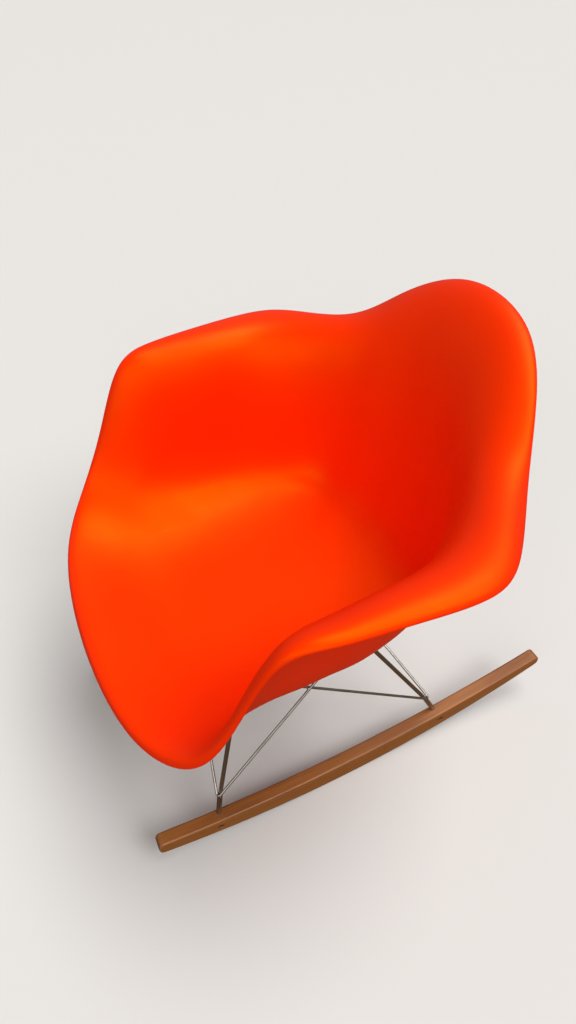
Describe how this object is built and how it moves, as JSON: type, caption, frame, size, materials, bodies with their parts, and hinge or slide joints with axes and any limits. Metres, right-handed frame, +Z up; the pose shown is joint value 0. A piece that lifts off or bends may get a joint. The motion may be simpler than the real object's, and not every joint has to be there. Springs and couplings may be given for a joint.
{
  "type": "rocking chair",
  "caption": "Rocking armchair: a one-piece moulded plastic bucket shell with arms on a crossed wire base, carried by curved wooden rockers.",
  "frame": {"origin": "on the floor, below the middle of the rockers, in the chair's plane of symmetry", "axes": "+Z up; the chair faces -Y; +X is the sitter's left"},
  "size_m": [0.6219, 0.69, 0.6901],
  "materials": {
    "shell": "fine matt texture, moulded in one colour",
    "rocker_wood": "light brown hardwood with a satin lacquer",
    "wire_steel": "bright plated rod",
    "plate_steel": "plated plate",
    "rubber": "black rubber",
    "brass": "plain brass",
    "screw_steel": "zinc plated"
  },
  "bodies": {
    "root": {"seat_shell": "shell", "rocker_left": "rocker_wood", "rocker_right": "rocker_wood", "foot_pin_front_left": "wire_steel", "leg_front_left": "wire_steel", "brace_wire_front_left": "wire_steel", "mounting_plate_front_left": "plate_steel", "rubber_mount_front_left": "rubber", "foot_pin_front_right": "wire_steel", "leg_front_right": "wire_steel", "brace_wire_front_right": "wire_steel", "mounting_plate_front_right": "plate_steel", "rubber_mount_front_right": "rubber", "foot_pin_rear_left": "wire_steel", "leg_rear_left": "wire_steel", "brace_wire_rear_left": "wire_steel", "mounting_plate_rear_left": "plate_steel", "rubber_mount_rear_left": "rubber", "foot_pin_rear_right": "wire_steel", "leg_rear_right": "wire_steel", "brace_wire_rear_right": "wire_steel", "mounting_plate_rear_right": "plate_steel", "rubber_mount_rear_right": "rubber", "threaded_inserts": "brass", "seat_screws": "screw_steel", "seat_washers": "screw_steel", "spring_washers": "screw_steel", "rocker_screws": "screw_steel", "crossing_welds": "wire_steel"}
  },
  "joints": []
}
